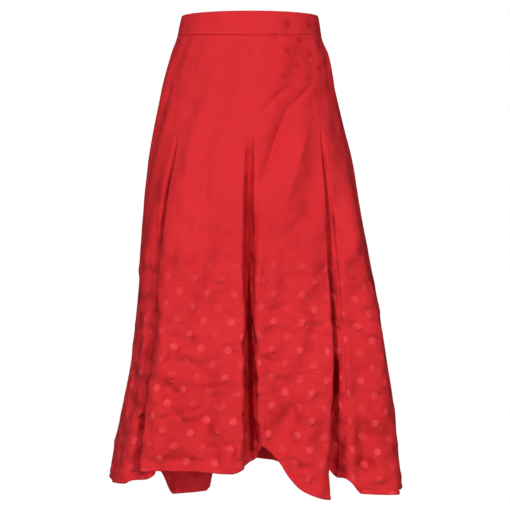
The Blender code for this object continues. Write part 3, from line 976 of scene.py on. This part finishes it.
@dataclass
class SkirtPanel:
    """One panel, from the seam at its start to the seam at its end."""

    form: SkirtForm
    creases: CreaseField
    node: str
    start: float | str
    end: float | str
    dot_turn: float
    dot_shift: Pair
    face_steps: int
    pleat_steps: int = 14
    height_steps: int = 240
    settle_rounds: int = 6
    half_way: float = 0.5
    wall: float = 0.0009
    seam_gap: float = 0.00008
    seam_sink: float = 0.0003
    side_sink: float = 0.00024
    seam_reach: float = 0.0016
    seam_calm: float = 0.009
    seam_taut: float = 0.8
    taut_reach: float = 0.014
    sewn_fade: float = 0.01
    fold_start: float = 0.030
    hem_turn: float = 0.006
    hem_edge: float = 0.0015
    hem_layer: float = 0.0006
    hem_stitch: float = 0.0007
    dot_start: float = 0.25
    dot_fade: float = 0.30
    dot_faint: float = 0.05
    dot_calm: int = 3
    dot_rise: float = 0.0006
    rise_reach: float = 1.3
    rise_least: float = 0.4
    rise_stir: Triple = (12.9, 78.2, 5.0)
    pucker_depth: float = 0.0015
    pucker_width: float = 0.0024
    pucker_spread: float = 1.2
    pucker_reach: float = 1.25
    pucker_least: float = 0.1
    pucker_way: Pair = (20.0, 70.0)
    pucker_stir: Triple = (39.3, 11.1, 2.0)

    def columns(self) -> tuple[Array, Array]:
        """Return each column's side, -1 start, 0 face or 1 end, and its share."""
        pleat = np.arange(self.pleat_steps + 1) / self.pleat_steps
        start = np.array([0.0]) if isinstance(self.start, float) else pleat
        end = np.array([0.0]) if isinstance(self.end, float) else pleat[::-1]
        face = np.arange(1, self.face_steps) / self.face_steps
        side = np.concatenate([-np.ones(len(start)), np.zeros(len(face)), np.ones(len(end))])
        return side, np.concatenate([start, face, end])

    def seam_angles(self, drop: Array) -> tuple[Array, Array]:
        """Return the angles of both seams, a full turn more where the panel passes the back."""
        start, end = (self.form.seam_angle(seam, drop) for seam in (self.start, self.end))
        return start, end + FULL_TURN * (end < start)

    def solve(self) -> tuple[Array, Array, Array]:
        """Return the angle, drop and inward fold of every point of the grid."""
        form = self.form
        side, share = self.columns()
        down = (np.arange(self.height_steps + 1) / self.height_steps)[:, None]
        middle = 0.5 * float(sum(self.seam_angles(np.array(self.half_way))))
        angle = np.full((len(down), len(side)), middle)
        mouth_table = SmoothTable.of(form.pleat_sizes, "drop", "mouth")
        depth_table = SmoothTable.of(form.pleat_sizes, "drop", "depth")
        drop = np.zeros_like(angle)
        for _ in range(self.settle_rounds):
            top, foot = form.band_drop(angle) + SEAM_GAP, form.hem_drop(angle)
            drop = top + (foot - top) * down
            edges = []
            for seam, at in zip((self.start, self.end), self.seam_angles(drop)):
                wide = 0.0 if isinstance(seam, float) else mouth_table(drop)
                edges.append((at, wide / form.metres_per_degree(at, drop)))
            (first, first_turn), (last, last_turn) = edges
            opened = depth_table(drop) / form.pleat_sizes[-1].depth
            curl = share + form.pleat_belly * opened * np.sin(2 * np.pi * share)
            gap = 0.5 * self.seam_gap / form.metres_per_degree(angle, drop) * (share == 0)
            face = first + first_turn + (last - last_turn - first - first_turn) * share
            ending = np.where(side > 0, last - last_turn * curl - gap, face)
            angle = np.where(side < 0, first + first_turn * curl + gap, ending)
        inward = np.zeros_like(angle)
        for seam, code in ((self.start, -1), (self.end, 1)):
            if isinstance(seam, str):
                fold = depth_table(drop) * form.pleats[seam].share
                inward += np.where(side == code, fold * bump_of(share), 0.0)
        return angle, drop, inward

    def cloth_lengths(self, grid: Array, drop: Array) -> Array:
        """Return the length across and down the cloth at each point of the grid.

        Args:
            grid: The grid's points.
            drop: Their drops.

        Returns:
            Lengths from the panel's middle line and from the waist seam, in metres.
        """
        step = np.diff(grid, axis=1)
        across = np.cumsum(np.hypot(step[..., 0], step[..., 1]), axis=1)
        across = np.concatenate([np.zeros((len(grid), 1)), across], axis=1)
        side, share = self.columns()
        middle = int(np.argmin(np.abs(share - 0.5) + np.abs(side)))
        across -= across[:, middle : middle + 1]
        run = np.linalg.norm(np.diff(grid[:, middle], axis=0), axis=-1)
        line = np.concatenate([[0.0], np.cumsum(run)])
        down = np.interp(drop, drop[:, middle], line)
        return turned_lengths(across, down, self.dot_shift, self.dot_turn)

    def detail(self, angle: Array, drop: Array, lengths: Array) -> Array:
        """Return how far creases, dots, seams and the hem move each point out."""
        form = self.form
        off_seam = self.off_seam(angle, drop)
        folded = np.clip((drop - form.pleat_release) / self.fold_start, 0.0, 1.0)
        folded = folded * (self.columns()[0] != 0)
        top_gap = drop - form.band_drop(angle)
        loose = 1 - self.seam_taut * bell(top_gap, self.taut_reach)
        height = self.dot_relief(drop, lengths) * off_seam**self.dot_calm
        height -= self.seam_sink * bell(top_gap, self.seam_reach)
        closed = np.clip((form.pleat_release - drop) / self.sewn_fade, 0.0, 1.0)
        for seam, at in zip((self.start, self.end), self.seam_angles(drop)):
            aside = np.abs(angle - at) * form.metres_per_degree(at, drop)
            sewn = 1.0 if isinstance(seam, float) else closed
            height -= self.side_sink * sewn * bell(aside, self.seam_reach)
            loose *= 1 - self.seam_taut * sewn * bell(aside, self.taut_reach)
        height += self.creases.height(angle, drop) * (1 - folded * (1 - off_seam)) * loose
        above = form.hem_drop(angle) - drop - self.hem_turn
        height += self.hem_layer * np.clip(0.5 - above / self.hem_edge, 0.0, 1.0)
        return height - self.hem_stitch * bell(above, self.seam_reach)

    def off_seam(self, angle: Array, drop: Array) -> Array:
        """Return a share that is 0 at the panel's two seams and 1 away from them."""
        side, share = self.columns()
        pleated = (side < 0) & isinstance(self.start, str) | (side > 0) & isinstance(self.end, str)
        found = np.where(pleated, eased(share), 1.0) * np.ones_like(drop)
        for seam in (self.start, self.end):
            if isinstance(seam, float):
                aside = turned(angle - seam) * self.form.metres_per_degree(angle, drop)
                found *= 1.0 - bump_of(aside / self.seam_calm)
        return found

    def dot_relief(self, drop: Array, lengths: Array) -> Array:
        """Return the low blister of each dot and the pucker under it, uneven from dot to dot.

        Args:
            drop: Drops of the places.
            lengths: Lengths across and down the cloth at the places.

        Returns:
            Heights along the cloth's outward side.
        """
        jacquard = JacquardFinish()
        height = np.zeros_like(drop)
        low = np.clip((drop - self.dot_start) / self.dot_fade, self.dot_faint, 1.0)
        least_way, more_way = self.pucker_way
        for shift in DOT_STAGGER:
            place = lengths / jacquard.pitch + shift
            dot = np.floor(place)
            away = (place - dot - 0.5) * jacquard.pitch
            chance = drawn(dot, shift, self.rise_stir)
            other = drawn(dot, shift, self.pucker_stir)
            radius = np.linalg.norm(away, axis=-1)
            rise = bump_of(radius / (self.rise_reach * jacquard.dot_radius))
            rise *= at_least(self.rise_least, chance)
            way = np.arctan2(away[..., 1], away[..., 0])
            way -= np.radians(least_way + more_way * other)
            groove = bell(radius - self.pucker_reach * jacquard.dot_radius, self.pucker_width)
            groove *= bump_of(way / self.pucker_spread)
            groove *= at_least(self.pucker_least, chance * other)
            height += (self.dot_rise * rise - self.pucker_depth * groove) * low
        return height

    def build(self, material: bpy.types.Material) -> bpy.types.Object:
        """Args:
            material: The cloth's material.

        Returns:
            The finished piece, which stands for the panel's solid.
        """
        angle, drop, inward = self.solve()
        grid = self.form.point(angle, drop, inward - self.form.soft_height(angle, drop))
        lengths = self.cloth_lengths(grid, drop)
        off_seam = self.off_seam(angle, drop)[..., None]
        way = outward_normals(grid) * off_seam + self.form.outward(angle, drop) * (1 - off_seam)
        way /= np.linalg.norm(way, axis=-1, keepdims=True)
        grid += way * self.detail(angle, drop, lengths)[..., None]
        piece = mesh_object(f"{self.node}_cloth", grid, lengths)
        shell = piece.modifiers.new("Cloth wall", "SOLIDIFY")
        shell.thickness = self.wall
        shell.offset = -1.0
        declare_cloth(piece, self.node, material)
        return piece


@dataclass
class WaistbandPiece:
    """One piece of the waistband, a folded double layer with rounded edges."""

    form: SkirtForm
    node: str
    start: float
    end: float
    start_gap: float = SEAM_GAP
    end_gap: float = SEAM_GAP
    dot_shift: Pair = (0.0, 0.0)
    wall: float = 0.0022
    swell: float = 0.0004
    inner_swell: float = 0.0002
    face_rows: int = 26
    edge_rows: int = 6
    steps_per_degree: float = 1.4
    ripple: float = 0.00035
    ripple_waves: Pair = (23.0, 7.0)
    ripple_lean: float = 40.0

    def profile(self) -> Array:
        """Return columns of the band's section: inward, share of the way down, and beyond."""
        face = np.linspace(0.0, 1.0, self.face_rows + 1)
        turn = np.linspace(0.0, np.pi, self.edge_rows + 1)[1:-1]
        half = 0.5 * self.wall
        outer = -self.swell * np.sin(np.pi * face)
        inner = self.wall + self.inner_swell * np.sin(np.pi * face[::-1])
        bottom, top = half - half * np.cos(turn), half + half * np.cos(turn)
        lift = half * np.sin(turn)
        inward = np.concatenate([outer, bottom, inner, top])
        share = np.concatenate([face, turn * 0 + 1, face[::-1], turn * 0])
        beyond = np.concatenate([face * 0, lift, face * 0, -lift])
        return np.stack([inward, share, beyond])[..., None]

    def build(self, material: bpy.types.Material) -> bpy.types.Object:
        """Args:
            material: The cloth's material.

        Returns:
            The finished piece, which stands for the band's solid.
        """
        form, half = self.form, 0.5 * self.wall
        first = self.start + 0.5 * self.start_gap / form.degree_at(self.start, 0.0)
        last = self.end - 0.5 * self.end_gap / form.degree_at(self.end, 0.0)
        steps = int((last - first) * self.steps_per_degree)
        angle = np.linspace(first, last, steps + 1)[None, :]
        inward, share, beyond = self.profile()
        foot = form.band_drop(angle)
        drop = half + (foot - 2 * half) * share + beyond
        angle = np.broadcast_to(angle, drop.shape)
        quick, slow = (np.radians(angle) * waves for waves in self.ripple_waves)
        wave = np.sin(quick + self.ripple_lean * drop) * np.sin(slow)
        low = np.clip(drop / form.band_height, 0.0, 1.0) ** 2
        grid = form.point(angle, drop, inward - self.ripple * wave * low)
        step = np.linalg.norm(np.diff(grid[0], axis=0), axis=-1)
        across = np.concatenate([[0.0], np.cumsum(step)]) - 0.5 * step.sum()
        lengths = turned_lengths(np.broadcast_to(across, drop.shape), drop, self.dot_shift)
        piece = mesh_object(f"{self.node}_cloth", grid, lengths, loop_around=True)
        self.close_ends(piece, *drop.shape)
        declare_cloth(piece, self.node, material)
        return piece

    def close_ends(self, piece: bpy.types.Object, rows: int, columns: int) -> None:
        """Close the two ends of the band's tube with a flat face each."""
        shape = bmesh.new()
        shape.from_mesh(piece.data)
        shape.verts.ensure_lookup_table()
        for column, order in ((0, -1), (columns - 1, 1)):
            ring = [shape.verts[row * columns + column] for row in range(rows)]
            shape.faces.new(ring[::order])
        bmesh.ops.recalc_face_normals(shape, faces=shape.faces)
        shape.to_mesh(piece.data)
        shape.free()


@dataclass
class ZipClosure:
    """The concealed zip at the back middle: its tape, slider and pull tab."""

    edge: float = 0.00018
    edge_steps: int = 2

    def dress(self) -> None:
        """Give the zip's solids their finishes and soften their edges."""
        tape, enamel = TapeFinish().make(), EnamelFinish().make()
        for node, material in (("zip_tape", tape), ("zip_slider", enamel), ("zip_pull", enamel)):
            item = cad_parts[node]
            item.data.materials.clear()
            item.data.materials.append(material)
            soft = item.modifiers.new("Worn edge", "BEVEL")
            soft.width = self.edge
            soft.segments = self.edge_steps
            soft.limit_method = "ANGLE"
            LOG.info("%s dressed", node)


def show_apart(
    tree: bpy.types.NodeTree, lit: Socket, seen: Socket, output: str
) -> None:
    """Let the camera see one shader, and let another one light the scene.

    Args:
        tree: Node tree of the floor or the room.
        lit: Shader that lights the scene.
        seen: Shader that the camera sees.
        output: Name of the tree's output node.
    """
    path = tree.nodes.new("ShaderNodeLightPath")
    mix = tree.nodes.new("ShaderNodeMixShader")
    for socket, source in zip(mix.inputs, (path.outputs["Is Camera Ray"], lit, seen)):
        tree.links.new(source, socket)
    tree.links.new(mix.outputs[0], tree.nodes[output].inputs["Surface"])


@dataclass(frozen=True)
class SoftLight:
    """A round area light: its place, its width and its power in watts."""

    name: str
    place: Triple
    width: float
    power: float


@dataclass
class Studio:
    """Pale floor, soft lights and the camera at the photograph's angle."""

    camera_distance: float = 3.5
    camera_aside: float = 0.0084
    camera_drop: float = 0.400
    view_width: float = 0.8553
    sensor: float = 36.0
    floor_drop: float = 1.16
    floor_size: float = 60.0
    floor_colour: Colour = (0.55, 0.55, 0.55, 1.0)
    floor_roughness: float = 0.9
    room_colour: Colour = (1.0, 1.0, 1.0, 1.0)
    room_shown: float = 1.0
    room_light: float = 0.12
    lit_point: Triple = (0.0, 0.0, -0.42)
    soft_lights: tuple[SoftLight, ...] = (
        SoftLight("key_light", (-1.4, -3.5, 3.2), 0.5, 172.0),
        SoftLight("low_light", (1.1, -3.4, -0.3), 0.6, 52.0),
        SoftLight("back_light", (-0.2, 3.1, 2.0), 1.6, 92.0),
    )

    def camera(self) -> None:
        """Make the camera and set it as the scene's."""
        data = bpy.data.cameras.new("studio_camera")
        data.sensor_width = self.sensor
        data.lens = self.sensor * self.camera_distance / self.view_width
        item = place_object("studio_camera", data)
        item.location = (self.camera_aside, -self.camera_distance, -self.camera_drop)
        item.rotation_euler = (np.pi / 2, 0.0, 0.0)
        bpy.context.scene.camera = item

    def floor(self) -> None:
        """Make the pale floor well below the hem."""
        bpy.ops.mesh.primitive_plane_add(size=self.floor_size, location=(0, 0, -self.floor_drop))
        item = bpy.context.object
        item.name = "studio_floor"
        bench = NodeBench("pale_floor")
        bench.shade({"Base Color": self.floor_colour, "Roughness": self.floor_roughness})
        glow = bench.add("ShaderNodeEmission").outputs[0]
        show_apart(bench.tree, bench.shader.outputs[0], glow, "Material Output")
        item.data.materials.append(bench.material)

    def lights(self) -> None:
        """Make the soft lights round the skirt."""
        for light in self.soft_lights:
            data = bpy.data.lights.new(light.name, "AREA")
            data.shape = "DISK"
            data.size = light.width
            data.energy = light.power
            item = place_object(light.name, data)
            item.location = light.place
            way = Vector(self.lit_point) - Vector(light.place)
            item.rotation_euler = way.to_track_quat("-Z", "Y").to_euler()

    def world(self) -> None:
        """Make the pale room: bright where it shows, softer as a light."""
        world = bpy.data.worlds.new("pale_room")
        bpy.context.scene.world = world
        world.use_nodes = True
        tree = world.node_tree
        shown = tree.nodes["Background"]
        shown.inputs["Color"].default_value = self.room_colour
        shown.inputs["Strength"].default_value = self.room_shown
        soft = tree.nodes.new("ShaderNodeBackground")
        soft.inputs["Strength"].default_value = self.room_light
        show_apart(tree, soft.outputs[0], shown.outputs[0], "World Output")
        bpy.context.scene.view_settings.view_transform = "Standard"

    def build(self) -> None:
        """Build the whole studio."""
        self.camera()
        self.floor()
        self.lights()
        self.world()
        LOG.info("studio built")


def build_skirt() -> None:
    """Build the panels, the waistband and the zip of the skirt."""
    form = SkirtForm()
    creases = CreaseField(form)
    cloth = JacquardFinish().make()
    cuts = (
        ("front_side_left", -SIDE_SEAM, "front_left", -5.0, (0.20, 0.35), 50),
        ("front_centre_left", "front_left", "front_middle", 3.5, (-0.41, -0.07), 104),
        ("front_centre_right", "front_middle", "front_right", 3.0, (0.76, 0.84), 104),
        ("front_side_right", "front_right", SIDE_SEAM, 6.0, (0.356, -0.115), 50),
        ("back_side_right", SIDE_SEAM, "back_right", -5.0, (0.10, 0.60), 50),
        ("back_centre_right", "back_right", "back_middle", 3.0, (0.55, 0.15), 80),
        ("back_centre_left", "back_middle", "back_left", -3.0, (0.30, 0.80), 80),
        ("back_side_left", "back_left", -SIDE_SEAM, 5.0, (0.70, 0.25), 50),
    )
    for cut in cuts:
        SkirtPanel(form, creases, *cut).build(cloth)
    zip_slit = 0.0018
    far_side = FULL_TURN - SIDE_SEAM
    bands = (
        ("waistband_front", -SIDE_SEAM, SIDE_SEAM, SEAM_GAP, SEAM_GAP, (0.633, 0.533)),
        ("waistband_back_right", SIDE_SEAM, BACK_MIDDLE, SEAM_GAP, zip_slit),
        ("waistband_back_left", BACK_MIDDLE, far_side, zip_slit),
    )
    for band in bands:
        WaistbandPiece(form, *band).build(cloth)
    ZipClosure().dress()


def main() -> None:
    """Build the studio and the skirt."""
    logging.basicConfig(level=logging.INFO, format="%(name)s: %(message)s")
    Studio().build()
    build_skirt()


if __name__ == "__main__":
    main()
